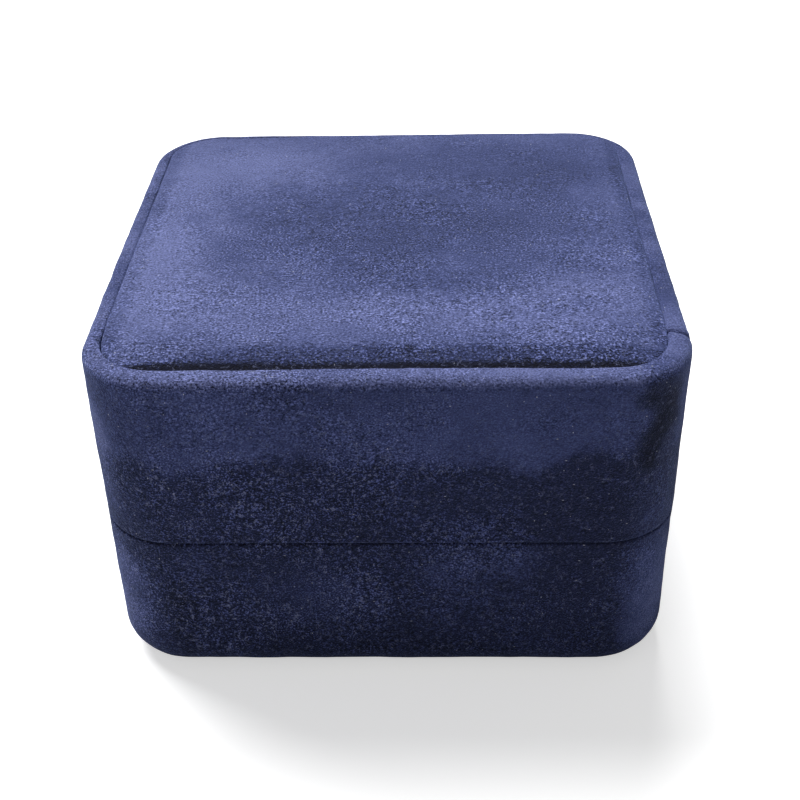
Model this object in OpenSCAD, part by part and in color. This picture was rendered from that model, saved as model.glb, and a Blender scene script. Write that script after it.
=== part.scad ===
// Ring box: a square clamshell box with rounded corners, covered in short-nap velvet.
// Origin: centre of the underside. +Z up, front towards -Y, hinge at the back (+Y).

/* [Box] */
// Outside width and depth of the closed box
box_side = 93; // [88:1:110]
// Outside height of the closed box
box_h = 59; // [56:1:70]
// Height of the base's rim, where the lid starts
base_h = 28; // [26:0.5:30]
// Radius of the upright corners
corner_r = 12.5; // [11:0.5:16]
// Radius of the edge round the underside
bottom_edge_r = 5; // [3:0.5:6]
// Radius of the edge round the top
top_edge_r = 2; // [1.5:0.25:2.5]
// Radius of the velvet edges that meet at the parting line
seam_edge_r = 1.2; // [1:0.1:1.6]
// Gap between base and lid when closed
seam_gap = 0.3; // [0.3:0.05:0.5]

/* [Walls and covering] */
// Wall of the moulded cores
wall_t = 2.6; // [2.6:0.1:3.2]
// Floor of the base core and deck of the lid core
deck_t = 2.4; // [2:0.2:3]
// Velvet with its backing
velvet_t = 0.8; // [0.7:0.05:0.9]
// Card and velvet of the side linings
lining_t = 1.2; // [1:0.1:1.6]
// How far the velvet is turned in over each rim
turn_in = 5; // [4:0.5:7]

/* [Lid top] */
// Width of the velvet rim round the padded top panel
rim_w = 3.1; // [2.9:0.1:4]
// Height of the panel's middle over the rim
panel_proud = 0.6; // [0.3:0.1:1]
// Depth of the panel's bed below the rim
panel_bed = 3.4; // [3.2:0.1:4]

/* [Ring cushion] */
// Depth of the cushion's top below the base's rim
cushion_drop = 5; // [4.8:0.2:7]
// Ring slots, side by side
slot_count = 2; // [1:1:2]
// Distance between the slots' centres
slot_pitch = 36; // [30:1:40]
// Length of a slot
slot_l = 24; // [18:1:26]
// Width of a slot
slot_w = 4.8; // [4.4:0.1:6]
// Depth of a slot
slot_depth = 13; // [9:0.5:13]

/* [Lid pad] */
// Thickness of the satin pad under the lid
lid_pad_t = 6; // [5:0.5:8]

/* [Hinge] */
// Width of the hinge
hinge_w = 36; // [30:1:44]
// Height of each hinge leaf
leaf_h = 11; // [9:0.5:13]
// Radius of the hinge barrel
barrel_r = 1.2; // [1.1:0.05:1.2]
// Radius of the hinge pin
pin_r = 0.6; // [0.5:0.05:0.6]

/* [Magnets] */
// Length of a bar magnet
magnet_l = 10; // [6:1:14]
// Distance from the middle to a magnet's centre
magnet_x = 20; // [14:1:24]

/* [Hidden] */
$fn = 96;

navy = [0.14, 0.16, 0.32];
navy_light = [0.24, 0.28, 0.46];
foam_colour = [0.92, 0.91, 0.86];
card_colour = [0.45, 0.42, 0.38];
core_colour = [0.12, 0.12, 0.13];
brass_colour = [0.80, 0.62, 0.32];
steel_colour = [0.70, 0.71, 0.73];
satin_colour = [0.20, 0.24, 0.44];

// Heights, from the table upwards
panel_sink = 0.4;                        // the underside's cover stands this much below the wrap
bottom_t = panel_sink + velvet_t;        // cover and board of the underside
cover_t = 0.5;                           // felt cover of the underside
lid_z = base_h + seam_gap;               // lower edge of the lid
rim_z = box_h - panel_proud;             // top of the rim round the panel
bed_z = rim_z - panel_bed;               // floor of the panel's bed
ceiling_z = bed_z - deck_t;              // ceiling of the lid core
floor_z = bottom_t + deck_t;             // top of the base core's floor
board_t = 1.4;                           // card under the cushion and the top panel
cushion_z = base_h - cushion_drop;       // top of the ring cushion
pad_z = ceiling_z - lid_pad_t;           // underside of the satin pad
pad_board_t = 1;                         // card behind the satin pad
satin_t = 0.6;                           // satin with its backing

// Plan sizes, from the outside in
core_inset = velvet_t;                   // outer face of the cores
cavity_inset = velvet_t + wall_t;        // inner face of the cores' walls
turned_inset = cavity_inset + velvet_t;  // face of the velvet that is turned in
clear_inset = turned_inset + lining_t;   // face of the side linings
bed_inset = rim_w - velvet_t;            // wall of the panel's bed
pad_clear = 0.6;                         // satin pad to the side lining
cushion_clear = 0.3;                     // cushion to the side lining
underside_inset = 7.5;                   // edge of the underside's cover
lining_drop = 1.2;                       // side linings stop this far from the rim

// Padded edges
cushion_edge_r = 3;
pad_edge_r = 3;
panel_edge_r = 1.8;
panel_shoulder = 0.6;                    // fall of the panel's surface towards its edge

// Hinge
pivot_y = box_side / 2 - barrel_r;
pivot_z = base_h + seam_gap / 2;
relief_r = 2.2;                          // rounding of the rear edges, so that the lid can turn
barrel_clear = 0.2;                      // barrel to the walls round it
knuckles = 5;
knuckle_gap = 0.3;
knuckle_l = (hinge_w - (knuckles - 1) * knuckle_gap) / knuckles;
pin_clear = 0.05;                        // pin to the lid leaf's knuckles
pin_head_r = 0.9;
pin_head_l = 0.4;
window_w = hinge_w + 2 * pin_head_l + 1; // gap in the velvet and the walls for the barrel
leaf_gap = 0.2;                          // velvet to the leaf's sides
rivet_pitch = 13;
rivet_r = 0.9;
rivet_head_r = 1.5;
rivet_l = 2.4;
rivet_from_end = 3;

// Magnets
magnet_t = 1.6;
magnet_h = 3;

// Quarter-round corner to cut from a profile whose corner is at the origin, with its body in -X -Y
module corner_waste(r) {
    difference() {
        translate([-r, -r]) square(r + 1);
        translate([-r, -r]) circle(r);
    }
}

// Section through a block's wall, from x = 0 out to x = w, with its outer edges rounded
module edge_section(w, z_low, z_high, r_low, r_high) {
    difference() {
        translate([0, z_low]) square([w, z_high - z_low]);
        if (r_high > 0) translate([w, z_high]) corner_waste(r_high);
        if (r_low > 0) translate([w, z_low]) mirror([0, 1]) corner_waste(r_low);
    }
}

// Section whose top also falls by `fall` towards its edge
module crowned_section(w, z_low, z_high, r_high, fall) {
    crown_r = (w * w + fall * fall) / (2 * fall);
    intersection() {
        edge_section(w, z_low, z_high, 0, r_high);
        translate([0, z_high - crown_r]) circle(crown_r);
    }
}

// Square block with upright corners of radius r, whose wall has the section given as a child
module swept_block(side, r, z_low, z_high) {
    middle = side - 2 * r;
    for (turn = [0:90:270]) {
        rotate(turn) {
            translate([middle / 2, middle / 2]) rotate_extrude(angle = 90) children();
            translate([middle / 2, middle / 2]) rotate([90, 0, 0]) linear_extrude(middle) children();
        }
    }
    translate([-middle / 2, -middle / 2, z_low]) cube([middle, middle, z_high - z_low]);
}

// Block that lies `inset` inside the box's outline
module block(inset, z_low, z_high, r_low, r_high) {
    r = corner_r - inset;
    swept_block(box_side - 2 * inset, r, z_low, z_high) edge_section(r, z_low, z_high, r_low, r_high);
}

// Upright walls with sharp edges, `inset` inside the box's outline
module prism(inset, z_low, z_high) {
    block(inset, z_low, z_high, 0, 0);
}

// Turns a shape given for the base's rear edge upside down, about the parting plane
module on_lid() {
    translate([0, 0, 2 * pivot_z]) mirror([0, 0, 1]) children();
}

// Waste outside the rounded rear edge of the base
module rear_waste(inset) {
    r = relief_r - inset;
    y = box_side / 2 - relief_r;
    z = base_h - relief_r;
    difference() {
        translate([-box_side / 2, y, z]) cube([box_side, relief_r + 1, relief_r + 1]);
        translate([-box_side / 2 - 1, y, z]) rotate([0, 90, 0]) cylinder(h = box_side + 2, r = r);
    }
}

// Window in the base's rear edge that the hinge barrel lies in
module barrel_window() {
    y = pivot_y - barrel_r - barrel_clear;
    z = pivot_z - barrel_r - barrel_clear;
    translate([-window_w / 2, y, z]) cube([window_w, box_side / 2 - y + 1, base_h - z + 1]);
}

// Gap in the base's velvet for the hinge leaf
module leaf_window() {
    width = hinge_w + 2 * leaf_gap;
    inner = box_side / 2 - turned_inset - 1;
    outer = pivot_y - barrel_r;
    z = base_h - velvet_t;
    translate([-width / 2, inner, z]) cube([width, outer - inner, velvet_t + 1]);
    translate([-width / 2, inner, z - turn_in - 1]) cube([width, turned_inset - cavity_inset + 1, turn_in + 2]);
}

// Slots in the walls' rims for the two bar magnets
module magnet_bars() {
    y = -box_side / 2 + core_inset + (wall_t - magnet_t) / 2;
    z = base_h - velvet_t - magnet_h;
    for (side = [-1, 1]) {
        translate([side * magnet_x - magnet_l / 2, y, z]) cube([magnet_l, magnet_t, magnet_h]);
    }
}

// Rivets of one leaf, through the leaf and into the wall
module rivets() {
    y = box_side / 2 - turned_inset;
    z = base_h - leaf_h + rivet_from_end;
    for (i = [-1:1]) {
        translate([i * rivet_pitch, y, z]) rotate([-90, 0, 0]) {
            cylinder(h = rivet_l, r = rivet_r);
            cylinder(h = rivet_head_r - rivet_r, r1 = rivet_head_r, r2 = rivet_r);
        }
    }
}

// Knuckles of one leaf: every second stretch of the barrel, from number `first`
module knuckle_row(first, bore_r) {
    pitch = knuckle_l + knuckle_gap;
    root_y = pivot_y - barrel_r - barrel_clear;
    difference() {
        for (i = [first:2:knuckles - 1]) {
            translate([-hinge_w / 2 + i * pitch, 0, 0]) {
                translate([0, pivot_y, pivot_z]) rotate([0, 90, 0]) cylinder(h = knuckle_l, r = barrel_r);
                translate([0, root_y - 0.5, base_h - velvet_t]) cube([knuckle_l, pivot_y - root_y + 0.5, velvet_t]);
            }
        }
        translate([-hinge_w, pivot_y, pivot_z]) rotate([0, 90, 0]) cylinder(h = 2 * hinge_w, r = bore_r);
    }
}

// Leaf of the base's side: a plate on the rim, bent down over the wall's inner face
module leaf(first, bore_r) {
    inner = box_side / 2 - turned_inset;
    root_y = pivot_y - barrel_r - barrel_clear;
    difference() {
        union() {
            translate([-hinge_w / 2, inner, base_h - velvet_t]) cube([hinge_w, root_y - inner, velvet_t]);
            translate([-hinge_w / 2, inner, base_h - leaf_h]) cube([hinge_w, velvet_t, leaf_h]);
            knuckle_row(first, bore_r);
        }
        rivets();
    }
}

// Plan of one ring slot
module slot_plan(length, width) {
    square([length - width, width], center = true);
    for (end = [-1, 1]) translate([end * (length - width) / 2, 0]) circle(width / 2);
}

// Ring slots, enlarged by `grow` all round
module slots(grow, z_low, z_high) {
    for (i = [0:slot_count - 1]) {
        x = (i - (slot_count - 1) / 2) * slot_pitch;
        translate([x, 0, z_low]) linear_extrude(z_high - z_low) slot_plan(slot_l + 2 * grow, slot_w + 2 * grow);
    }
}

// Core of the base's outside: everything within `inset` of its velvet face
module base_solid(inset) {
    difference() {
        block(inset, panel_sink + inset, base_h - inset, bottom_edge_r - inset, seam_edge_r - inset);
        rear_waste(inset);
    }
}

// The same for the lid
module lid_solid(inset) {
    difference() {
        block(inset, lid_z + inset, rim_z - inset, seam_edge_r - inset, top_edge_r - inset);
        on_lid() rear_waste(inset);
    }
}

module base_shell() {
    color(core_colour) difference() {
        base_solid(core_inset);
        prism(cavity_inset, floor_z, base_h + 1);
        barrel_window();
        magnet_bars();
        rivets();
    }
}

module base_velvet_wrap() {
    color(navy) difference() {
        base_solid(0);
        difference() {
            base_solid(core_inset);
            prism(cavity_inset, base_h - turn_in, base_h);
        }
        prism(turned_inset, base_h - turn_in - 1, base_h + 1);
        prism(underside_inset, -1, bottom_t + 0.1);
        barrel_window();
        leaf_window();
    }
}

module bottom_board() {
    color(card_colour) prism(underside_inset + cover_t, cover_t, bottom_t);
}

module bottom_cover() {
    color(core_colour) difference() {
        prism(underside_inset, 0, bottom_t);
        prism(underside_inset + cover_t, cover_t, bottom_t + 1);
    }
}

module base_side_lining() {
    color(navy) difference() {
        prism(turned_inset, floor_z, base_h - lining_drop);
        prism(clear_inset, floor_z - 1, base_h);
    }
}

module cushion_board() {
    color(card_colour) prism(clear_inset + cushion_clear, floor_z, floor_z + board_t);
}

module cushion_foam() {
    inset = clear_inset + cushion_clear + velvet_t;
    low = floor_z + board_t;
    color(foam_colour) difference() {
        block(inset, low, cushion_z - velvet_t, 0, cushion_edge_r - velvet_t);
        slots(velvet_t, cushion_z - slot_depth - velvet_t, cushion_z);
    }
}

module cushion_velvet() {
    inset = clear_inset + cushion_clear;
    low = floor_z + board_t;
    slot_floor = cushion_z - slot_depth;
    color(navy_light) difference() {
        block(inset, low, cushion_z, 0, cushion_edge_r);
        difference() {
            block(inset + velvet_t, low - 1, cushion_z - velvet_t, 0, cushion_edge_r - velvet_t);
            slots(velvet_t, slot_floor - velvet_t, cushion_z);
        }
        slots(0, slot_floor, cushion_z + 1);
    }
}

module base_magnets() {
    color(steel_colour) magnet_bars();
}

module lid_shell() {
    color(core_colour) difference() {
        lid_solid(core_inset);
        prism(cavity_inset, lid_z - 1, ceiling_z);
        prism(bed_inset, bed_z, rim_z);
        on_lid() barrel_window();
        on_lid() magnet_bars();
        on_lid() rivets();
    }
}

module lid_velvet_wrap() {
    color(navy) difference() {
        lid_solid(0);
        difference() {
            lid_solid(core_inset);
            prism(cavity_inset, lid_z, lid_z + turn_in);
            prism(bed_inset, bed_z, rim_z);
        }
        prism(turned_inset, lid_z - 1, lid_z + turn_in + 1);
        prism(rim_w, bed_z - 0.1, rim_z + 1);
        on_lid() barrel_window();
        on_lid() leaf_window();
    }
}

// Padded top panel, everything within `inset` of its velvet face
module panel_solid(inset) {
    r = corner_r - rim_w - inset;
    z = box_h - inset;
    swept_block(2 * r + box_side - 2 * corner_r, r, bed_z, z)
        crowned_section(r, bed_z, z, panel_edge_r - inset, panel_shoulder);
}

module top_panel_board() {
    color(card_colour) prism(rim_w + velvet_t, bed_z, bed_z + board_t);
}

module top_panel_foam() {
    color(foam_colour) difference() {
        panel_solid(velvet_t);
        prism(rim_w, bed_z - 1, bed_z + board_t);
    }
}

module top_panel_velvet() {
    color(navy_light) difference() {
        panel_solid(0);
        panel_solid(velvet_t);
    }
}

module lid_pad_board() {
    color(card_colour) prism(clear_inset + pad_clear + satin_t, ceiling_z - pad_board_t, ceiling_z);
}

module lid_pad_foam() {
    inset = clear_inset + pad_clear + satin_t;
    color(foam_colour) block(inset, pad_z + satin_t, ceiling_z - pad_board_t, pad_edge_r - satin_t, 0);
}

module lid_pad_satin() {
    inset = clear_inset + pad_clear;
    color(satin_colour) difference() {
        block(inset, pad_z, ceiling_z, pad_edge_r, 0);
        block(inset + satin_t, pad_z + satin_t, ceiling_z + 1, pad_edge_r - satin_t, 0);
    }
}

module lid_side_lining() {
    color(navy) difference() {
        prism(turned_inset, lid_z + lining_drop, ceiling_z);
        prism(clear_inset, lid_z, ceiling_z + 1);
    }
}

module lid_magnets() {
    color(steel_colour) on_lid() magnet_bars();
}

module hinge_base_leaf() {
    color(brass_colour) leaf(0, pin_r);
}

module hinge_lid_leaf() {
    color(brass_colour) on_lid() leaf(1, pin_r + pin_clear);
}

module hinge_pin() {
    color(steel_colour) {
        translate([-hinge_w / 2, pivot_y, pivot_z]) rotate([0, 90, 0]) cylinder(h = hinge_w, r = pin_r);
        for (side = [-1, 1]) {
            translate([side * hinge_w / 2, pivot_y, pivot_z]) rotate([0, side * 90, 0])
                cylinder(h = pin_head_l, r = pin_head_r);
        }
    }
}

module hinge_base_rivets() {
    color(brass_colour) rivets();
}

module hinge_lid_rivets() {
    color(brass_colour) on_lid() rivets();
}

base_shell();
base_velvet_wrap();
bottom_board();
bottom_cover();
base_side_lining();
cushion_board();
cushion_foam();
cushion_velvet();
base_magnets();
lid_shell();
lid_velvet_wrap();
top_panel_board();
top_panel_foam();
top_panel_velvet();
lid_pad_board();
lid_pad_foam();
lid_pad_satin();
lid_side_lining();
lid_magnets();
hinge_base_leaf();
hinge_lid_leaf();
hinge_pin();
hinge_base_rivets();
hinge_lid_rivets();
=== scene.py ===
# Looks of the velvet ring box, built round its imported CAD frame: +Z up, front towards -Y.
# Lengths here are in millimetres, and make_object() turns them into metres.

import math

import bmesh
import bpy
import numpy as np
from mathutils import Matrix, Vector, noise


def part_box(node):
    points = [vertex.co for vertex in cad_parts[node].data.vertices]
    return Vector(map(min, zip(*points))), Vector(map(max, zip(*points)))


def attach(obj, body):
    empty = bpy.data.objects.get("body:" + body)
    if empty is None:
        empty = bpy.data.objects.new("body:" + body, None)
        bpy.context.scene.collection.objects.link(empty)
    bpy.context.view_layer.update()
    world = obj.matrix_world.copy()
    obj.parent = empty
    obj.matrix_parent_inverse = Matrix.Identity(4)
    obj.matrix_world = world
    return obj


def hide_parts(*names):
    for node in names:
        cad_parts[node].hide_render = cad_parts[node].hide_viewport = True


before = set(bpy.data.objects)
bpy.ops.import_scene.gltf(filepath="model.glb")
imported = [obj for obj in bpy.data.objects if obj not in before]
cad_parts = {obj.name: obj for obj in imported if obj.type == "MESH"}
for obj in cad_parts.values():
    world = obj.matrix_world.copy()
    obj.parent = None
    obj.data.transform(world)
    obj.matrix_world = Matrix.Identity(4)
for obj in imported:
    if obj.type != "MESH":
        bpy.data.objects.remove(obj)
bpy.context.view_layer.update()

MM = 0.001


def box_mm(node):
    """Lowest and highest corner of a CAD node, in millimetres."""
    return tuple(np.array(corner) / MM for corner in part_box(node))


# ---- Sizes, from the frame -------------------------------------------------------------------

base_low, base_high = box_mm("base_velvet_wrap")
lid_low, lid_high = box_mm("lid_velvet_wrap")
panel_low, panel_high = box_mm("top_panel_velvet")
HALF = float(base_high[0])               # half the box's width
CORNER_R = 12.5                          # upright corners
STRAIGHT = HALF - CORNER_R               # half of a side's straight stretch
RIM_Z = float(lid_high[2])               # top of the lid's rim
PANEL_Z = float(panel_high[2])           # top of the padded panel
PANEL_HALF = float(panel_high[0])
RIM_W = HALF - PANEL_HALF
BED_Z = float(panel_low[2])              # floor of the panel's bed
SEAM_Z = float(base_high[2] + lid_low[2]) / 2
SEAM_REACH = float(lid_low[2] - base_high[2]) / 2              # rim to the middle of the seam
HEM_Z = float(base_low[2])               # underside of the velvet's hem
VELVET_T = 0.8
CAVITY_INSET = HALF - float(box_mm("base_side_lining")[1][0])  # face of the turned-in velvet
TURN_IN = 5.0
BOTTOM_EDGE_R = 5.2
TOP_EDGE_R = 1.8
RIM_INNER_R = 0.5
PANEL_SHIFT = np.array([-0.3, 0.9])      # the pad sits this far off the middle of its bed
SEAM_EDGE_R = 0.35
RELIEF_R = 2.2                           # round of the rear edges, so that the lid can turn
BARREL_HALF = float(box_mm("hinge_pin")[1][0]) + 0.9           # window for the hinge barrel
LEAF_HALF = BARREL_HALF - 0.7                                  # gap for the hinge leaf
WINDOW_INSET = 2.6                       # how far the barrel's window reaches in from the back
COVER_HALF = float(box_mm("bottom_cover")[1][0])


# ---- Meshes ----------------------------------------------------------------------------------

def make_object(name, points, faces):
    """Mesh object from points in millimetres."""
    mesh = bpy.data.meshes.new(name)
    mesh.from_pydata([tuple(p) for p in np.asarray(points, float) * MM], [], faces)
    mesh.validate()
    obj = bpy.data.objects.new(name, mesh)
    bpy.context.scene.collection.objects.link(obj)
    drop_loose(obj)
    return obj


def drop_loose(obj):
    """Takes away points without faces, and shades the rest smooth."""
    bm = bmesh.new()
    bm.from_mesh(obj.data)
    bmesh.ops.delete(bm, geom=[v for v in bm.verts if not v.link_faces], context="VERTS")
    bm.to_mesh(obj.data)
    bm.free()
    for polygon in obj.data.polygons:
        polygon.use_smooth = True


def points_of(obj):
    """The mesh's points, in millimetres."""
    co = np.zeros(len(obj.data.vertices) * 3)
    obj.data.vertices.foreach_get("co", co)
    return co.reshape(-1, 3) / MM


def set_points(obj, points):
    """Moves the mesh's points to these, in millimetres."""
    obj.data.vertices.foreach_set("co", (np.asarray(points) * MM).ravel())
    obj.data.update()


def normals_of(obj):
    """The mesh's normals at its points."""
    return np.array([v.normal[:] for v in obj.data.vertices])


def apply_modifiers(obj):
    """Replaces the mesh with what its modifiers make of it."""
    depsgraph = bpy.context.evaluated_depsgraph_get()
    made = bpy.data.meshes.new_from_object(obj.evaluated_get(depsgraph))
    obj.modifiers.clear()
    obj.data = made
    for polygon in made.polygons:
        polygon.use_smooth = True


def thicken(obj, thickness):
    """Gives a sheet its thickness, away from its shown side."""
    modifier = obj.modifiers.new("thickness", "SOLIDIFY")
    modifier.thickness = thickness * MM
    modifier.offset = -1
    modifier.use_even_offset = True
    apply_modifiers(obj)


def smooth(x, start, end):
    """0 before start, 1 after end, and a smooth rise between them."""
    t = np.clip((np.asarray(x, float) - start) / (end - start), 0, 1)
    return t * t * (3 - 2 * t)


def lumps(points, width, seed):
    """Smooth noise, about -1 to 1, whose lumps are about `width` across."""
    return np.array([noise.noise(Vector(p) / width + Vector((seed, -seed, 2 * seed))) for p in points])


def uneven(obj, sizes, seed, share=None):
    """Moves points along their normals by soft noise. sizes is [(height, width)].

    share(points) is how much each point takes.
    """
    points = points_of(obj)
    shift = sum(height * lumps(points, width, seed + i) for i, (height, width) in enumerate(sizes))
    if share is not None:
        shift = shift * share(points)
    set_points(obj, points + normals_of(obj) * shift[:, None])


def arc(u, z, r, start, end, steps):
    """Points round (u, z), from angle start to end in degrees."""
    angles = np.radians(np.linspace(start, end, steps + 1))
    return [(u + r * math.cos(a), z + r * math.sin(a)) for a in angles]


def between(a, b, step):
    """Points on the line from a to b, about step apart, without a and b themselves."""
    a, b = np.array(a, float), np.array(b, float)
    count = max(1, round(float(np.hypot(*(b - a))) / step))
    return [tuple(a + (b - a) * i / count) for i in range(1, count)]


COLUMN_STEP = 0.8
CORNER_COLUMNS = 24
CREASE_Y = -33.2                         # small crease across the rim, by the front right corner


def go_round():
    """Columns round the box: where each starts, and which way is out.

    start + out * (CORNER_R + u) is u outside the box.
    """
    marks = [-BARREL_HALF, -LEAF_HALF, LEAF_HALF, BARREL_HALF]
    marks += [CREASE_Y + d for d in (-0.45, -0.22, 0, 0.22, 0.45)]
    even = np.linspace(-STRAIGHT, STRAIGHT, round(2 * STRAIGHT / COLUMN_STEP) + 1)
    even = [a for a in even if min(abs(a - m) for m in marks) > 0.3 * COLUMN_STEP]
    along = sorted([*even, *marks])[:-1]
    starts, outs = [], []
    for side in range(4):
        turn = side * math.pi / 2
        out = np.array([math.cos(turn), math.sin(turn)])
        right = np.array([-math.sin(turn), math.cos(turn)])
        starts += [out * STRAIGHT + right * a for a in along]
        outs += [out] * len(along)
        bend = [turn + math.pi / 2 * i / CORNER_COLUMNS for i in range(CORNER_COLUMNS)]
        starts += [(out + right) * STRAIGHT] * CORNER_COLUMNS
        outs += [np.array([math.cos(a), math.sin(a)]) for a in bend]
    return np.array(starts), np.array(outs)


STARTS, OUTS = go_round()


def sweep(name, section, closed=False, keep=None):
    """Mesh swept round the box. section(i) gives column i's rows as (u, z), u outwards from the wall.

    keep(x, y, row) says which faces stay. x and y are the middle of the face, and row is its first row.
    """
    rows = np.array([section(i) for i in range(len(STARTS))])
    columns, count = rows.shape[:2]
    flat = STARTS[:, None, :] + OUTS[:, None, :] * (CORNER_R + rows[:, :, :1])
    points = np.concatenate([flat, rows[:, :, 1:]], axis=2)
    faces = []
    for i in range(columns):
        j = (i + 1) % columns
        for r in range(count if closed else count - 1):
            s = (r + 1) % count
            x, y = (points[i, r, :2] + points[j, s, :2]) / 2
            if keep is None or keep(x, y, r):
                faces.append((i * count + r, j * count + r, j * count + s, i * count + s))
    return make_object(name, points.reshape(-1, 3), faces)


def disc(name, half, corner_r, rings):
    """Rounded square sheet facing up, from rings [(inset, z)], edge first. Its middle has the last z."""
    n = len(rings)
    rings = [*rings, (half, rings[-1][1])]
    side = np.arange(-n, n + 1)
    i, j = np.meshgrid(side, side, indexing="ij")
    ring = np.maximum(abs(i), abs(j))
    inset = np.array([rings[n - k][0] for k in range(n + 1)])[ring]
    z = np.array([rings[n - k][1] for k in range(n + 1)])[ring]
    level = half - inset
    r = np.minimum(np.maximum(corner_r - inset, 0.35 * corner_r), level)
    straight = level - r
    s = np.minimum(abs(i), abs(j)) / np.maximum(ring, 1) * (straight + r * math.pi / 4)
    a = np.maximum(s - straight, 0) / np.maximum(r, 1e-9)
    major = np.where(s <= straight, level, straight + r * np.cos(a))
    minor = np.where(s <= straight, s, straight + r * np.sin(a))
    x = np.sign(i) * np.where(abs(i) >= abs(j), major, minor)
    y = np.sign(j) * np.where(abs(i) >= abs(j), minor, major)
    points = np.stack([x, y, z], axis=2).reshape(-1, 3)
    m = 2 * n + 1
    corners = [p * m + q for p in range(m - 1) for q in range(m - 1)]
    return make_object(name, points, [(a, a + m, a + m + 1, a + 1) for a in corners])


def join(obj, other):
    """Adds the other mesh to obj, and removes the other object."""
    bm = bmesh.new()
    bm.from_mesh(obj.data)
    bm.from_mesh(other.data)
    bmesh.ops.remove_doubles(bm, verts=bm.verts, dist=0.00001)
    bm.to_mesh(obj.data)
    bm.free()
    bpy.data.objects.remove(other)


def flip(obj):
    """Turns the shown side over."""
    bm = bmesh.new()
    bm.from_mesh(obj.data)
    bmesh.ops.reverse_faces(bm, faces=bm.faces)
    bm.to_mesh(obj.data)
    bm.free()


# ---- Materials -------------------------------------------------------------------------------

def add(tree, kind, inputs=None, **settings):
    """Adds a shader node. inputs are values or the sockets that feed it."""
    made = tree.nodes.new(kind)
    for name, value in settings.items():
        setattr(made, name, value)
    for name, value in (inputs or {}).items():
        if isinstance(value, bpy.types.NodeSocket):
            tree.links.new(value, made.inputs[name])
        else:
            made.inputs[name].default_value = value
    return made


def new_material(name, **principled):
    """Material with one Principled shader.

    Returns the material, its node tree, the shader and the shaded place in millimetres.
    """
    material = bpy.data.materials.new(name)
    material.use_nodes = True
    tree = material.node_tree
    tree.nodes.clear()
    shader = add(tree, "ShaderNodeBsdfPrincipled", principled)
    add(tree, "ShaderNodeOutputMaterial", {"Surface": shader.outputs[0]})
    place = add(tree, "ShaderNodeTexCoord")
    return material, tree, shader, stretched(tree, place.outputs["Object"], 1 / MM, 1 / MM, 1 / MM)


def vector(tree, operation, a, b):
    """One sum on vectors."""
    return add(tree, "ShaderNodeVectorMath", {0: a, 1: b}, operation=operation).outputs[0]


def stretched(tree, place, x, y, z):
    """The place with its axes scaled, for grain that is longer one way."""
    return vector(tree, "MULTIPLY", place, (x, y, z))


def grain(tree, place, width, detail=2.0, rough=0.5, seed=0.0):
    """Noise from 0 to 1 with lumps about `width` across."""
    moved = vector(tree, "ADD", place, (seed, seed, seed))
    inputs = {"Vector": moved, "Scale": 1 / width, "Detail": detail, "Roughness": rough}
    return add(tree, "ShaderNodeTexNoise", inputs).outputs["Fac"]


def calc(tree, operation, a, b=0.0, c=0.0):
    """One sum on numbers or sockets."""
    return add(tree, "ShaderNodeMath", {0: a, 1: b, 2: c}, operation=operation).outputs[0]


def spread(tree, value, low, high, to_low=0.0, to_high=1.0, kind="LINEAR"):
    """Maps low..high to to_low..to_high, and holds the ends."""
    inputs = {"Value": value, "From Min": low, "From Max": high, "To Min": to_low, "To Max": to_high}
    return add(tree, "ShaderNodeMapRange", inputs, interpolation_type=kind).outputs["Result"]


def mix(tree, share, a, b, blend="MIX"):
    """Mixes two colours."""
    made = add(tree, "ShaderNodeMix", data_type="RGBA", blend_type=blend)
    for index, value in ((0, share), (6, a), (7, b)):
        if isinstance(value, bpy.types.NodeSocket):
            tree.links.new(value, made.inputs[index])
        else:
            made.inputs[index].default_value = value
    return made.outputs[2]


def bump(tree, shader, height, distance):
    """Bump of `distance` millimetres from height 0 to 1."""
    inputs = {"Height": height, "Distance": distance * MM, "Strength": 1.0}
    made = add(tree, "ShaderNodeBump", inputs)
    tree.links.new(made.outputs[0], shader.inputs["Normal"])


def rgb(r, g, b):
    """Opaque colour."""
    return (r, g, b, 1.0)


# The first colour is painted shadow: near black, for the groove at the panel's foot and the darkest painted
# shade.
NAP_PAINTED_SHADOW, NAP_DARK = rgb(0.003, 0.004, 0.012), rgb(0.012, 0.0155, 0.046)
NAP_MID, NAP_LIGHT = rgb(0.037, 0.048, 0.132), rgb(0.112, 0.130, 0.285)
FIBRE = rgb(0.16, 0.18, 0.32)
LINT = rgb(0.40, 0.42, 0.50)
SPECK = 0.16                             # strength of a pale tip or a dark pit in the pile
DRIFT = 14.0                             # each mark's outline, of brushing and of painted sheen alike, wanders by up to half of this


def brush_and_sheen_marks(tree, place, marks):
    """Sum of soft patches where the pile was brushed the other way, and of painted sheen patches.

    Each mark is (middle, reach, strength), in millimetres.
    """
    inputs = {"Vector": place, "Scale": 1 / 9.0, "Detail": 2.0}
    drift = add(tree, "ShaderNodeTexNoise", inputs).outputs["Color"]
    drift = vector(tree, "SUBTRACT", drift, (0.5, 0.5, 0.5))
    bent = vector(tree, "ADD", stretched(tree, drift, DRIFT, DRIFT, DRIFT), place)
    total = 0.0
    for middle, reach, strength in marks:
        off = vector(tree, "DIVIDE", vector(tree, "SUBTRACT", bent, middle), reach)
        far = add(tree, "ShaderNodeVectorMath", {0: off}, operation="LENGTH").outputs["Value"]
        total = calc(tree, "ADD", spread(tree, far, 0.25, 1.0, strength, 0.0, "SMOOTHSTEP"), total)
    return total


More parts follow.
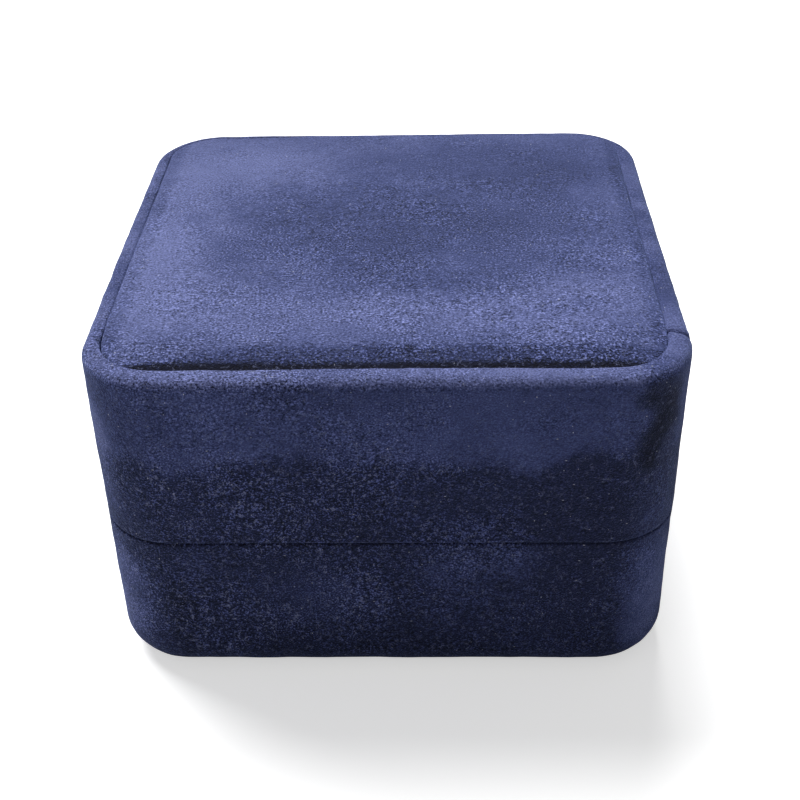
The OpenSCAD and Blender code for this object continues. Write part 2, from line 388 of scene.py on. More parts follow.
def nap_of(tree, place, patch, contrast, seed, marks, shade, streaks):
    """Which way the pile lies, plus the painted light and shade that shade() adds: 0 is dark, and 1 is light.
    """
    brushed = grain(tree, stretched(tree, place, 1, 1.3, 0.8), patch, 2.0, 0.55, seed)
    nap = calc(tree, "MULTIPLY_ADD", calc(tree, "SUBTRACT", brushed, 0.5), 1.3 * contrast, 0.5)
    nap = calc(tree, "MULTIPLY_ADD", calc(tree, "SUBTRACT", streaks, 0.5), 0.7 * contrast, nap)
    if marks:
        nap = calc(tree, "ADD", brush_and_sheen_marks(tree, place, marks), nap)
    # shade() adds painted light and shade
    if shade:
        nap = calc(tree, "ADD", shade(tree, place), nap)
    return nap


def specks_of(tree, place, seed, nap, pebbles, calm):
    """Pale tips and dark pits of the pile, stronger where it is ruffled or dark, and how ruffled it is."""
    patches = grain(tree, stretched(tree, place, 0.8, 1, 1), 9.0, 3.0, 0.6, seed + 23)
    ruffled = spread(tree, patches, 0.40, 0.58, 0.55, 1.0)
    ruffled = calc(tree, "MULTIPLY", ruffled, spread(tree, nap, 0.05, 0.6, 1.35, 0.9))
    if calm:
        ruffled = calc(tree, "MULTIPLY", ruffled, calm(tree, place))
    tips = spread(tree, pebbles, 0.53, 0.67, 0.0, SPECK, "SMOOTHSTEP")
    dips = spread(tree, pebbles, 0.33, 0.47, -SPECK, 0.0, "SMOOTHSTEP")
    return calc(tree, "MULTIPLY", calc(tree, "ADD", tips, dips), ruffled), ruffled


def fibres_of(tree, place, seed, strength, ruffled):
    """Short curled fibres."""
    curls = calc(tree, "ABSOLUTE", calc(tree, "SUBTRACT", grain(tree, place, 0.7, 2.0, 0.5, seed + 29), 0.5))
    short = spread(tree, grain(tree, place, 0.8, 1.0, 0.5, seed + 31), 0.54, 0.62)
    lines = spread(tree, curls, 0.0, 0.05, strength, 0.0)
    return calc(tree, "MULTIPLY", lines, calc(tree, "MULTIPLY", short, ruffled))


def velvet(
    name, patch=22.0, contrast=1.0, lint=1.0, seed=0.0, sheen=0.5, fibre=0.5, pile=0.28,
    marks=(), shade=None, calm=None,
):
    """Short-napped navy velvet: brushed patches, painted sheen patches, grain, short curled fibres, a little
    lint, and a blue sheen.

    shade(tree, place) adds painted light and shade to the nap from place to place, and calm(tree, place)
    changes the strength of its grain.
    """
    material, tree, shader, place = new_material(
        name,
        **{
            "Roughness": 0.9,
            "Specular IOR Level": 0.12,
            "Sheen Roughness": 0.42,
            "Sheen Tint": rgb(0.36, 0.48, 1.0),
        },
    )
    streaks = grain(tree, stretched(tree, place, 0.7, 0.9, 1.2), 2.0, 3.0, 0.6, seed + 7)
    pebbles = grain(tree, stretched(tree, place, 0.9, 1.0, 1.1), pile, 2.0, 0.6, seed + 13)
    nap = nap_of(tree, place, patch, contrast, seed, marks, shade, streaks)
    speck, ruffled = specks_of(tree, place, seed, nap, pebbles, calm)
    stand = calc(tree, "MULTIPLY_ADD", speck, 3.0, nap)
    # nap below 0, which comes mostly from painted shade, runs into the painted shadow colour
    colour = mix(tree, spread(tree, stand, -0.7, 0.0), NAP_PAINTED_SHADOW, NAP_DARK)
    colour = mix(tree, spread(tree, stand, 0.0, 0.5), colour, NAP_MID)
    colour = mix(tree, spread(tree, stand, 0.5, 1.2), colour, NAP_LIGHT)
    pits = spread(tree, speck, -SPECK, SPECK, 0.25, 1.75)
    pits = add(tree, "ShaderNodeCombineXYZ", {0: pits, 1: pits, 2: pits}).outputs[0]
    colour = mix(tree, 1.0, colour, pits, "MULTIPLY")
    colour = mix(tree, fibres_of(tree, place, seed, fibre, ruffled), colour, FIBRE)
    colour = mix(tree, calc(tree, "MULTIPLY", lint_spots(tree, place, seed), lint), colour, LINT)
    tree.links.new(colour, shader.inputs["Base Color"])
    tree.links.new(spread(tree, nap, 0.1, 0.9, 0.98, 0.80), shader.inputs["Roughness"])
    # the sheen fades out where painted shade makes the nap very dark, so that the painted shadow stays dark
    tree.links.new(spread(tree, nap, -1.2, -0.3, 0.0, sheen), shader.inputs["Sheen Weight"])
    bump(tree, shader, calc(tree, "MULTIPLY_ADD", streaks, 0.8, pebbles), 0.34)
    return material


def axis_of(tree, place, axis):
    """One coordinate of the place."""
    return add(tree, "ShaderNodeSeparateXYZ", {0: place}).outputs[axis]


def wrap_painted_light(tree, place):
    """Painted light and shade on the wrap: the rim is painted lighter as a highlight where it faces up, and
    the walls are painted darker as shade, least at the front towards the top of the wall, with an uneven
    border.
    """
    z = axis_of(tree, place, "Z")
    edge = grain(tree, stretched(tree, place, 1, 1, 0.5), 11.0, 4.0, 0.65, 41.0)
    wavy = calc(tree, "MULTIPLY_ADD", edge, 13.0, z)
    # painted shade on the front wall: dark below an uneven line, lighter above it
    upper = spread(tree, wavy, 48.5, 52.5, -0.62, -0.12, "SMOOTHSTEP")
    drift = grain(tree, stretched(tree, place, 1, 1, 0.6), 16.0, 3.0, 0.6, 47.0)
    # painted shade on the other walls, darker by an uneven amount
    plain = spread(tree, drift, 0.35, 0.65, -0.62, -0.22, "SMOOTHSTEP")
    front = spread(tree, axis_of(tree, place, "Y"), -43.0, -24.0, 1.0, 0.12, "SMOOTHSTEP")
    wall = calc(tree, "MULTIPLY_ADD", calc(tree, "SUBTRACT", upper, plain), front, plain)
    # painted highlight on the rim, where it faces up
    return calc(tree, "ADD", spread(tree, z, RIM_Z - 1.6, RIM_Z - 0.4, 0.0, 0.48, "SMOOTHSTEP"), wall)


def wrap_calm(tree, place):
    """The grain is stronger on the left and on the rim, and weaker on the upper wall and at the back."""
    z = axis_of(tree, place, "Z")
    across = spread(tree, axis_of(tree, place, "X"), -15.0, 30.0, 1.25, 0.75)
    up = spread(tree, z, 40.0, 47.0, 1.0, 0.62)
    up = calc(tree, "ADD", spread(tree, z, RIM_Z - 1.6, RIM_Z - 0.6, 0.0, 0.8), up)
    behind = spread(tree, axis_of(tree, place, "Y"), -43.0, -24.0, 1.0, 0.62)
    return calc(tree, "MULTIPLY", calc(tree, "MULTIPLY", across, up), behind)


def panel_calm(tree, place):
    """The grain is stronger towards the front."""
    return spread(tree, axis_of(tree, place, "Y"), -15.0, 35.0, 1.3, 0.6)


def panel_painted_shade(tree, place):
    """Painted shade on the panel: darker where it slopes to the front, a near-black painted shadow in the
    groove at its foot, and a little darker at its sides.
    """
    x, y = axis_of(tree, place, "X"), axis_of(tree, place, "Y")
    drift = calc(tree, "MULTIPLY_ADD", grain(tree, place, 5.0, 4.0, 0.65, 51.0), 3.0, -1.5)
    ahead = calc(tree, "MULTIPLY_ADD", y, -1.0, PANEL_SHIFT[1] - PANEL_HALF)
    narrow = spread(tree, x, -40.0, -18.0, 3.6, 0.0, "SMOOTHSTEP")
    top = calc(tree, "SUBTRACT", calc(tree, "ADD", ahead, drift), narrow)
    # painted shade on the slope to the front, and slightly lighter behind it
    slope = spread(tree, top, -6.4, -4.6, 0.12, -0.30, "SMOOTHSTEP")
    low = calc(tree, "MULTIPLY_ADD", drift, 0.25, ahead)
    # painted shadow in the groove at the panel's foot
    foot = spread(tree, low, -2.9, -1.4, 0.0, -1.4, "SMOOTHSTEP")
    # painted shade where the panel slopes down at its sides
    side = calc(tree, "MULTIPLY_ADD", drift, 0.6, calc(tree, "ABSOLUTE", x))
    side = spread(tree, side, PANEL_HALF - 3.5, PANEL_HALF - 1.5, 0.0, -0.22, "SMOOTHSTEP")
    return calc(tree, "ADD", calc(tree, "ADD", slope, foot), side)


# Brush marks and painted sheen patches as (middle, reach, strength): the top's and the front wall's follow
# the photo.
TOP_MARKS = [
    ((0, -27, 58), (60, 12, 9), 0.20),
    ((-40, -4, 58), (15, 44, 9), 0.34),
    ((-30, 30, 58), (30, 24, 9), 0.30),
    ((36, -20, 58), (16, 14, 9), 0.14),
    ((4, 4, 58), (46, 36, 9), -0.29),
    ((24, 28, 58), (28, 18, 9), -0.20),
]
WALL_MARKS = [
    # painted sheen: lighter along the left edge and at the lower left corner
    ((-46, -43, 42), (8, 14, 18), 0.45),
    ((-46, -42, 14), (10, 14, 18), 0.80),
    ((-34, -47, 10), (4.5, 6, 13), -0.30),
    ((-31, -47, 22), (7, 6, 6), 0.28),
    ((-11, -47, 17), (14, 8, 11), 0.26),
    ((10, -47, 22), (8, 6, 4), 0.24),
    ((22, -47, 25), (9, 6, 5), 0.24),
    # painted sheen: lighter at the lower right corner
    ((45, -44, 15), (11, 14, 21), 0.72),
    ((42, -45, 50), (6.5, 10, 11), -1.0),
]


def lint_spots(tree, place, seed):
    """Sparse tiny spots and short fibres."""
    total = None
    for size, sides, shift in ((1.7, (1, 1, 1), 0.0), (2.1, (0.5, 1, 1.4), 3.0), (2.3, (1.3, 0.5, 0.7), 5.0)):
        moved = stretched(tree, vector(tree, "ADD", place, (seed + shift,) * 3), *sides)
        cells = add(tree, "ShaderNodeTexVoronoi", {"Vector": moved, "Scale": 1 / size})
        spot = spread(tree, cells.outputs["Distance"], 0.028, 0.050, 0.8, 0.0)
        total = spot if total is None else calc(tree, "MAXIMUM", total, spot)
    return total


def moulded_plastic():
    """Black plastic of the cores, with faint flow marks."""
    made = new_material("black_plastic", **{"Roughness": 0.45, "Specular IOR Level": 0.45})
    material, tree, shader, place = made
    flow = grain(tree, stretched(tree, place, 1, 1, 0.3), 9.0, 3.0)
    specks = grain(tree, place, 0.35, 2.0, 0.6, 3.0)
    colour = mix(tree, flow, rgb(0.010, 0.010, 0.012), rgb(0.022, 0.022, 0.026))
    tree.links.new(colour, shader.inputs["Base Color"])
    tree.links.new(spread(tree, specks, 0.3, 0.7, 0.36, 0.58), shader.inputs["Roughness"])
    bump(tree, shader, specks, 0.02)
    return material


def card():
    """Grey board with paper fibres."""
    material, tree, shader, place = new_material("grey_card", **{"Roughness": 0.9, "Specular IOR Level": 0.2})
    fibres = grain(tree, stretched(tree, place, 1.6, 0.4, 1), 0.6, 4.0, 0.7)
    blotches = grain(tree, place, 6.0, 3.0, 0.5, 4.0)
    colour = mix(tree, blotches, rgb(0.20, 0.19, 0.175), rgb(0.29, 0.28, 0.26))
    colour = mix(tree, spread(tree, fibres, 0.35, 0.65, 0, 0.6), colour, rgb(0.36, 0.35, 0.33))
    tree.links.new(colour, shader.inputs["Base Color"])
    bump(tree, shader, fibres, 0.03)
    return material


def foam():
    """Cream upholstery foam with open pores."""
    made = new_material("cream_foam", **{"Roughness": 0.95, "Specular IOR Level": 0.15})
    material, tree, shader, place = made
    cells = add(tree, "ShaderNodeTexVoronoi", {"Vector": place, "Scale": 1 / 0.7})
    pores = spread(tree, cells.outputs["Distance"], 0.15, 0.6)
    tint = grain(tree, place, 12.0, 2.0)
    colour = mix(tree, tint, rgb(0.74, 0.68, 0.54), rgb(0.82, 0.78, 0.66))
    tree.links.new(mix(tree, pores, rgb(0.42, 0.38, 0.29), colour), shader.inputs["Base Color"])
    bump(tree, shader, pores, 0.2)
    return material


def felt():
    """Pressed black felt: tangled fibres and a few pale ones."""
    material, tree, shader, place = new_material(
        "black_felt",
        **{
            "Roughness": 0.95,
            "Specular IOR Level": 0.15,
            "Sheen Weight": 0.35,
            "Sheen Roughness": 0.5,
            "Sheen Tint": rgb(0.8, 0.85, 1.0),
        },
    )
    warp = grain(tree, place, 1.8, 3.0, 0.6, 2.0)
    bent = vector(tree, "ADD", place, calc(tree, "MULTIPLY", warp, 3.0))
    fibres = grain(tree, stretched(tree, bent, 2.6, 0.8, 1), 0.35, 3.0, 0.7, 6.0)
    blotches = grain(tree, place, 5.0, 3.0, 0.6, 9.0)
    colour = mix(tree, spread(tree, fibres, 0.35, 0.7), rgb(0.008, 0.009, 0.012), rgb(0.040, 0.042, 0.052))
    colour = mix(tree, spread(tree, blotches, 0.4, 0.75, 0, 0.5), colour, rgb(0.022, 0.023, 0.030))
    colour = mix(tree, calc(tree, "MULTIPLY", lint_spots(tree, place, 4.0), 0.6), colour, LINT)
    tree.links.new(colour, shader.inputs["Base Color"])
    bump(tree, shader, fibres, 0.12)
    return material


def satin():
    """Navy satin: fine floats along X, a broad soft gloss and slight shade changes."""
    material, tree, shader, place = new_material(
        "navy_satin",
        **{
            "Roughness": 0.36,
            "Specular IOR Level": 0.6,
            "Specular Tint": rgb(0.30, 0.38, 0.95),
            "Sheen Weight": 0.25,
            "Sheen Roughness": 0.3,
            "Sheen Tint": rgb(0.5, 0.6, 1.0),
            "Anisotropic": 0.45,
        },
    )
    threads = grain(tree, stretched(tree, place, 0.12, 4.0, 4.0), 0.5, 3.0, 0.55, 1.0)
    shade = grain(tree, place, 15.0, 2.0, 0.5, 8.0)
    inputs = {"Vector": stretched(tree, place, 0, 1, 0), "Scale": 1.1, "Distortion": 0.25}
    weave = add(tree, "ShaderNodeTexWave", inputs, wave_type="BANDS", bands_direction="Y").outputs["Fac"]
    colour = mix(tree, shade, rgb(0.014, 0.018, 0.062), rgb(0.026, 0.032, 0.100))
    colour = mix(tree, spread(tree, threads, 0.3, 0.7, 0, 0.5), colour, rgb(0.042, 0.050, 0.140))
    tree.links.new(colour, shader.inputs["Base Color"])
    tree.links.new(spread(tree, threads, 0.3, 0.7, 0.30, 0.44), shader.inputs["Roughness"])
    bump(tree, shader, calc(tree, "MULTIPLY_ADD", threads, 0.7, weave), 0.025)
    return material


def brushed_metal(name, colour, dull, roughness, worn):
    """Plated metal: fine brush marks, dull spots, and a paler plating in rubbed patches."""
    material, tree, shader, place = new_material(name, **{"Metallic": 1.0, "Roughness": roughness})
    marks = grain(tree, stretched(tree, place, 0.25, 5, 5), 0.6, 3.0, 0.6)
    spots = grain(tree, place, 2.2, 4.0, 0.65, 5.0)
    rubbed = spread(tree, grain(tree, place, 0.9, 3.0, 0.6, 8.0), 0.52, 0.68)
    base = mix(tree, spread(tree, spots, 0.45, 0.7), colour, dull)
    tree.links.new(mix(tree, calc(tree, "MULTIPLY", rubbed, 0.35), base, worn), shader.inputs["Base Color"])
    rough = spread(tree, marks, 0.3, 0.7, roughness - 0.08, roughness + 0.12)
    tree.links.new(calc(tree, "MULTIPLY_ADD", spots, 0.12, rough), shader.inputs["Roughness"])
    bump(tree, shader, marks, 0.012)
    return material


def paint(obj, material):
    """One material on the whole object. A CAD node keeps its mesh, so its slots change."""
    if not obj.material_slots:
        obj.data.materials.append(material)
    for item in obj.material_slots:
        item.link = "OBJECT"
        item.material = material


# ---- Velvet round the base and the lid -------------------------------------------------------

RAYS = np.radians([0, 12, 25.6, 33, 37.5, 41.5, 46, 50.5, 55, 62, 72, 90])
CLOSED_NAP = 0.10                        # the pile fills this much of the seam from each side


def seam_gap(y):
    """From the middle of the seam to the rim: the pile closes it, except by the hinge."""
    return SEAM_REACH - CLOSED_NAP * (1 - smooth(y, HALF - 12, HALF - 5))


def in_wall(u, w, column):
    """True inside the wrap's rounded edge. w is the distance from the middle of the seam."""
    y = STARTS[column, 1] + OUTS[column, 1] * (CORNER_R + u)
    gap = seam_gap(y)
    if u > 0 or w < gap:
        return False
    if u > -SEAM_EDGE_R and w < gap + SEAM_EDGE_R:
        if math.hypot(u + SEAM_EDGE_R, gap + SEAM_EDGE_R - w) > SEAM_EDGE_R:
            return False
    cut, low = HALF - RELIEF_R, SEAM_REACH + RELIEF_R
    return not (y > cut and w < low and math.hypot(y - cut, low - w) > RELIEF_R)


def seam_edge(column):
    """Rows (u, w) round the wrap's edge at the seam, from its wall to its rim."""
    rows = []
    for a in RAYS:
        near, far = 0.0, 4.5
        for _ in range(22):
            t = (near + far) / 2
            u, w = -RELIEF_R + t * math.cos(a), SEAM_REACH + RELIEF_R - t * math.sin(a)
            near, far = (t, far) if in_wall(u, w, column) else (near, t)
        rows.append((u, w))
    return rows


FOLD_R = 0.4                             # the rim's inner edge


def seam_fold(column):
    """Rows (u, w) from the wall's edge over the rim and into the box."""
    rim_y = STARTS[column, 1] + OUTS[column, 1] * (CORNER_R - WINDOW_INSET)
    gap = float(seam_gap(rim_y))
    inner = -CAVITY_INSET
    rows = seam_edge(column)
    rows += [(-WINDOW_INSET, gap), (-3.2, gap)]
    bends = np.radians([0, 30, 60, 90])
    rows += [(inner + FOLD_R * (1 - math.sin(a)), gap + FOLD_R * (1 - math.cos(a))) for a in bends]
    rows += [(inner, w) for w in np.linspace(gap + 1.1, SEAM_REACH + TURN_IN, 5)]
    return rows


FOLD_ROWS = len(seam_fold(0))
WALL_STEP = 0.8


def base_rows(column):
    """From the hem underneath, round the foot, up the wall, over the rim and into the base."""
    r = BOTTOM_EDGE_R
    hem = [(-HALF + COVER_HALF + 0.4, HEM_Z), (-6.6, HEM_Z), (-5.9, HEM_Z)]
    foot = arc(-r, HEM_Z + r, r, -90, 0, 9)
    top = SEAM_Z - SEAM_REACH - RELIEF_R
    wall = between((0, HEM_Z + r), (0, top), WALL_STEP)
    return hem + foot + wall + [(u, SEAM_Z - w) for u, w in seam_fold(column)]


def lid_rows(column):
    """From inside the lid, over its edge at the seam, up its wall and over the rim into the panel's bed."""
    fold = [(u, SEAM_Z + w) for u, w in reversed(seam_fold(column))]
    low, high = SEAM_Z + SEAM_REACH + RELIEF_R, RIM_Z - TOP_EDGE_R
    wall = between((0, low), (0, high), WALL_STEP)
    edge = arc(-TOP_EDGE_R, high, TOP_EDGE_R, 0, 90, 7)
    inner = arc(-RIM_W + RIM_INNER_R, RIM_Z - RIM_INNER_R, RIM_INNER_R, 90, 180, 6)
    bed = between(inner[-1], (-RIM_W, BED_Z), 0.8) + [(-RIM_W, BED_Z + 0.02)]
    return fold + wall + edge + inner + bed


def windows(first):
    """Which faces of a wrap stay at the hinge. first(row) is a face's first row, counted from the fold."""
    def keep(x, y, row):
        if y < HALF - 2 * CAVITY_INSET:
            return True
        k = first(row)
        barrel = 2 <= k < len(RAYS) and abs(x) < BARREL_HALF
        leaf = len(RAYS) <= k and abs(x) < LEAF_HALF
        return not (barrel or leaf)
    return keep


def away_from_hinge(points):
    """How much unevenness a point takes: none by the hinge."""
    back = smooth(points[:, 1], HALF - 9, HALF - 4)
    near = 1 - smooth(abs(points[:, 2] - SEAM_Z), 3.5, 9)
    return 1 - back * near


def fold_share(points):
    """Less unevenness at the seam, so that base and lid stay apart."""
    at_seam = 1 - smooth(abs(points[:, 2] - SEAM_Z), 0.3, 2.5)
    return away_from_hinge(points) * (1 - 0.92 * at_seam)


def inset_of(points):
    """How far each point lies inside the box's outline."""
    q = abs(points[:, :2]) - STRAIGHT
    return CORNER_R - np.hypot(*np.maximum(q, 0).T) - np.minimum(q.max(1), 0)


def crease(obj):
    """A short sharp crease across the rim, with the velvet puffed a little on both sides."""
    points = points_of(obj)
    across = points[:, 1] - CREASE_Y
    there = (points[:, 0] > STRAIGHT) * smooth(points[:, 2], RIM_Z - 2.5, RIM_Z - 0.8)
    sunk = -0.5 * np.exp(-((across / 0.26) ** 2)) + 0.14 * np.exp(-(((abs(across) - 1.3) / 0.7) ** 2))
    set_points(obj, points + normals_of(obj) * (sunk * there)[:, None])


def shift_rim(obj):
    """The rim's inner edge goes with the panel's pad."""
    points = points_of(obj)
    share = smooth(inset_of(points), 0.9, RIM_W) * (points[:, 2] > BED_Z - 0.5)
    points[:, :2] += PANEL_SHIFT * share[:, None]
    set_points(obj, points)


def pleats(obj):
    """Small gathers where the hem goes round the corners underneath."""
    points = points_of(obj)
    u = np.hypot(*np.maximum(abs(points[:, :2]) - STRAIGHT, 0).T)
    corner = (np.minimum(abs(points[:, 0]), abs(points[:, 1])) > STRAIGHT) & (u > 0)
    angle = np.arctan2(abs(points[:, 1]) - STRAIGHT, abs(points[:, 0]) - STRAIGHT)
    inner = (1 - smooth(u, 6.5, 11.5)) * (1 - smooth(points[:, 2], HEM_Z + 0.3, HEM_Z + 2.5))
    edges = smooth(angle, 0, 0.25) * (1 - smooth(angle, math.pi / 2 - 0.25, math.pi / 2))
    fold = (0.5 + 0.5 * np.cos(angle * 28)) ** 2
    points[:, 2] += np.where(corner, 0.28 * fold * inner * edges, 0)
    set_points(obj, points)


def strip_size(rows):
    """Cut size in metres of a strip that goes once round the box, from one column's rows."""
    rows = np.array(rows)
    around = 8 * STRAIGHT + 2 * math.pi * CORNER_R
    return around * MM, float(np.hypot(*np.diff(rows, axis=0).T).sum()) * MM


# The column nearest the middle of the front
FRONT_COLUMN = int(np.argmin(OUTS[:, 1] + abs(STARTS[:, 0]) * 0.001))


def base_velvet(material):
    """Velvet strip wrapped round the base."""
    before = len(base_rows(0)) - FOLD_ROWS
    obj = sweep("base_velvet", base_rows, keep=windows(lambda row: row - before))
    uneven(obj, [(0.20, 21.0), (0.07, 5.0), (0.04, 2.2)], 3.0, fold_share)
    pleats(obj)
    thicken(obj, VELVET_T)
    paint(obj, material)
    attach(obj, "base")
    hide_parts("base_velvet_wrap")
    strip_size(base_rows(FRONT_COLUMN))


def lid_velvet(material):
    """Velvet strip wrapped round the lid."""
    obj = sweep("lid_velvet", lid_rows, keep=windows(lambda row: FOLD_ROWS - 2 - row))
    uneven(obj, [(0.20, 23.0), (0.07, 5.0), (0.05, 2.2)], 8.0, fold_share)
    crease(obj)
    shift_rim(obj)
    thicken(obj, VELVET_T)
    paint(obj, material)
    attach(obj, "lid")
    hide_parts("lid_velvet_wrap")
    strip_size(lid_rows(FRONT_COLUMN))


# ---- Padded top panel ------------------------------------------------------------------------

PANEL_EDGE_R = 0.9
SHOULDER = 8.0                           # width of the band that falls towards the edge


def panel_rings(foot_z, top_z, edge_r):
    """(inset, z) of a flat-topped pad, from its foot to its middle."""
    low = top_z - edge_r
    foot = [(0.02, z) for z in np.linspace(foot_z, low, 4)]
    bends = np.radians([18, 36, 52, 66, 78])
    roll = [(0.02 + edge_r * (1 - math.cos(a)), low + edge_r * math.sin(a)) for a in bends]
    insets = [*np.arange(edge_r, SHOULDER + 1, 0.6), *np.arange(SHOULDER + 1.5, PANEL_HALF - 1.5, 0.85)]
    return foot + roll + [(d, top_z) for d in insets]


def crown(obj, sink, foot_z):
    """The pad falls towards its edge, most at the front, and is a little fuller at the back right.

    Its edge rolls in less at the left and the back, where the groove is nearly closed.
    """
    points = points_of(obj)
    x, y, z = points.T
    top_z = float(z.max())
    inset = inset_of(points) - RIM_W - sink
    share = np.maximum(1 - smooth(inset, 0, SHOULDER), 0) ** 1.3
    fall = 0.35 + 0.95 * smooth(-y, 28, 40) - 0.15 * smooth(y, 28, 40)
    fuller = 0.45 * np.exp(-(((x - 18) / 20) ** 2) - (((y - 36) / 12) ** 2))
    height = top_z - foot_z
    tight = np.max([smooth(-x, 28, 38), 0.5 * smooth(x, 28, 38), smooth(y, 28, 38)], axis=0)
    tight *= 1 - smooth(-y, 30, 38)
    rise = 0.5 * tight * np.minimum(top_z - z, PANEL_EDGE_R)
    rise *= np.clip((z - foot_z) / (height - PANEL_EDGE_R), 0, 1)
    points[:, 2] = foot_z + (z + rise - foot_z) * (1 + (fuller - fall * share) / height)
    points[:, :2] += PANEL_SHIFT
    set_points(obj, points)
    sizes = [(0.22, 26.0), (0.06, 6.0), (0.05, 2.2)]
    uneven(obj, sizes, 14.0, lambda p: smooth(p[:, 2], top_z - 2.5, top_z - 1.0))


def top_panel(material, foam_material):
    """Padded panel in the lid's bed: velvet drawn over a sheet of foam."""
    board_top = float(box_mm("top_panel_board")[1][2])
    sink = PANEL_HALF - float(box_mm("top_panel_foam")[1][0])
    corner = CORNER_R - RIM_W
    rings = panel_rings(BED_Z + 0.02, PANEL_Z, PANEL_EDGE_R)
    skin = disc("top_panel_pad", PANEL_HALF, corner, rings)
    crown(skin, 0.0, BED_Z + 0.02)
    thicken(skin, VELVET_T)
    rings = panel_rings(board_top, PANEL_Z - sink - 0.03, PANEL_EDGE_R - 0.5)
    rings = [(2.0, board_top), (0.9, board_top), *rings]
    fill = disc("top_panel_filling", PANEL_HALF - sink - 0.05, corner - sink, rings)
    crown(fill, sink, board_top)
    rings = [(d, board_top) for d in range(0, 38, 2)]
    under = disc("under", PANEL_HALF - sink - 2.05, corner - sink - 2, rings)
    set_points(under, points_of(under) + [*PANEL_SHIFT, 0])
    flip(under)
    join(fill, under)
    for obj, finish, node, slot in (
        (skin, material, "top_panel_velvet", "navy_velvet"),
        (fill, foam_material, "top_panel_foam", "cream_foam"),
    ):
        paint(obj, finish)
        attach(obj, "lid")
        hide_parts(node)


# ---- Underside -------------------------------------------------------------------------------

def underside_cover(material):
    """Felt pressed round the board under the base, facing down."""
    low, high = (float(corner[2]) for corner in box_mm("bottom_cover"))
    edge_r = 0.5
    up = [(0.0, z) for z in np.linspace(-high, -low - edge_r, 3)]
    roll = [(edge_r * (1 - math.cos(a)), -low - edge_r * (1 - math.sin(a))) for a in np.radians([22, 45, 67])]
    flat = [(d, -low) for d in [edge_r, *np.arange(1.5, COVER_HALF - 0.5, 1.6)]]
    obj = disc("underside_cover", COVER_HALF, CORNER_R - HALF + COVER_HALF, up + roll + flat)
    points = points_of(obj)
    points[:, 2] = -points[:, 2]
    points[:, 2] += 0.06 * (1 + lumps(points, 11.0, 5.0)) * (points[:, 2] < 0.1)
    set_points(obj, points)
    flip(obj)
    thicken(obj, 0.5)
    paint(obj, material)
    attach(obj, "base")
    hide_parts("bottom_cover")


# ---- Linings ---------------------------------------------------------------------------------

def lining(name, node, body, material, rim_up, seed):
    """Velvet-covered board round a side of the inside, rounded at its free edge."""
    low, high = (float(corner[2]) for corner in box_mm(node))
    outer, inner = -CAVITY_INSET - 0.02, -CAVITY_INSET - 1.2
    r = (outer - inner) / 2
    foot, top = (low, high - r) if rim_up else (high, low + r)
    turn = 1 if rim_up else -1
    middle = (outer + inner) / 2
    outside = [(outer, z) for z in np.linspace(foot, top, 24)]
    bends = np.radians([30, 60, 90, 120, 150])
    cap = [(middle + r * math.cos(a), top + turn * r * math.sin(a)) for a in bends]
    inside = [(inner, z) for z in np.linspace(top, foot, 24)]
    rows = outside + cap + inside
    rows = rows if rim_up else rows[::-1]
    obj = sweep(name, lambda column: rows, closed=True)
    uneven(obj, [(0.10, 13.0), (0.04, 3.5)], seed)
    paint(obj, material)
    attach(obj, body)
    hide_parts(node)


# ---- Cushions, puffed by cloth simulation ----------------------------------------------------

SIM_SCALE = 10.0                         # the cloth is simulated this much bigger, for its solver
SIM_FRAMES = 20
SMOOTHING_STEPS = 3


def remesh(obj, voxel):
    """Even mesh for the cloth, with faces about `voxel` millimetres across."""
    modifier = obj.modifiers.new("remesh", "REMESH")
    modifier.mode = "VOXEL"
    modifier.voxel_size = voxel * MM
    apply_modifiers(obj)


def puff(obj, held, pressure, cap, shrink=0.0):
    """Swells the mesh like a stuffed cover.

    held(points) is how firmly each point is held, from 0 to 1, and cap how far it may move.
    """
    rest = points_of(obj)
    hold = held(rest)
    group = obj.vertex_groups.new(name="held")
    for value in np.unique(np.round(hold, 1)):
        group.add([int(i) for i in np.nonzero(np.round(hold, 1) == value)[0]], float(value), "REPLACE")
    set_points(obj, rest * SIM_SCALE)
    modifier = obj.modifiers.new("cloth", "CLOTH")
    settings = modifier.settings
    settings.quality = 6
    settings.use_pressure = True
    settings.uniform_pressure_force = pressure
    settings.shrink_min = shrink
    settings.vertex_group_mass = "held"
    settings.effector_weights.gravity = 0
    settings.bending_stiffness = 0.6
    modifier.collision_settings.use_collision = False
    for i in range(1, SIM_FRAMES + 1):
        bpy.context.scene.frame_set(i)
    depsgraph = bpy.context.evaluated_depsgraph_get()
    swollen = obj.evaluated_get(depsgraph).to_mesh()
    co = np.zeros(len(rest) * 3)
    swollen.vertices.foreach_get("co", co)
    obj.evaluated_get(depsgraph).to_mesh_clear()
    obj.modifiers.clear()
    bpy.context.scene.frame_set(1)
    move = co.reshape(-1, 3) / MM / SIM_SCALE - rest
    length = np.linalg.norm(move, axis=1)
    limit = cap * (1 - hold)
    move *= (limit * np.tanh(length / np.maximum(limit, 1e-6)) / np.maximum(length, 1e-9))[:, None]
    set_points(obj, rest + move)


def refine(obj):
    """One subdivision, after the voxel steps are smoothed away."""
    soften = obj.modifiers.new("smooth", "SMOOTH")
    soften.factor = 0.5
    soften.iterations = SMOOTHING_STEPS
    divide = obj.modifiers.new("subdivide", "SUBSURF")
    divide.levels = divide.render_levels = 1
    apply_modifiers(obj)


